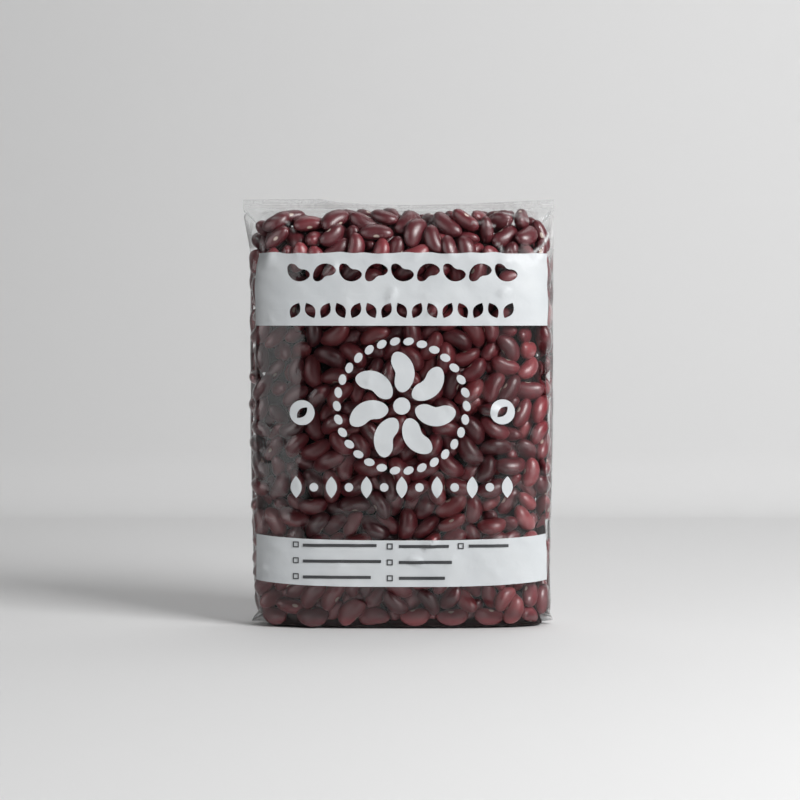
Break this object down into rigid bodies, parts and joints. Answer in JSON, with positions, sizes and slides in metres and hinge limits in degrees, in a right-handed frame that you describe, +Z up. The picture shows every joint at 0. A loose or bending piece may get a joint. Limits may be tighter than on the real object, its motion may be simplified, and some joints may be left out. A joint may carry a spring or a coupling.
{
  "type": "bag of dried beans",
  "caption": "Sealed clear film bag of dried red kidney beans, standing upright, with a flat top seal and white printed panels on its front.",
  "frame": {"origin": "on the floor under the middle of the standing bag", "axes": "+Z up to the top seal, +X to the right across the printed front, +Y from the front to the back"},
  "size_m": [0.158, 0.0524, 0.2169],
  "materials": {
    "film": "clear glossy packing film, slightly hazy where it is sealed or creased",
    "dried_beans": "dark red-brown bean skin with a soft shine and a pale scar on each bean",
    "white_print": "white ink printed on glossy film",
    "dark_print": "dark grey ink printed on glossy film"
  },
  "bodies": {
    "root": {"filled_bag": "film"}
  },
  "joints": []
}
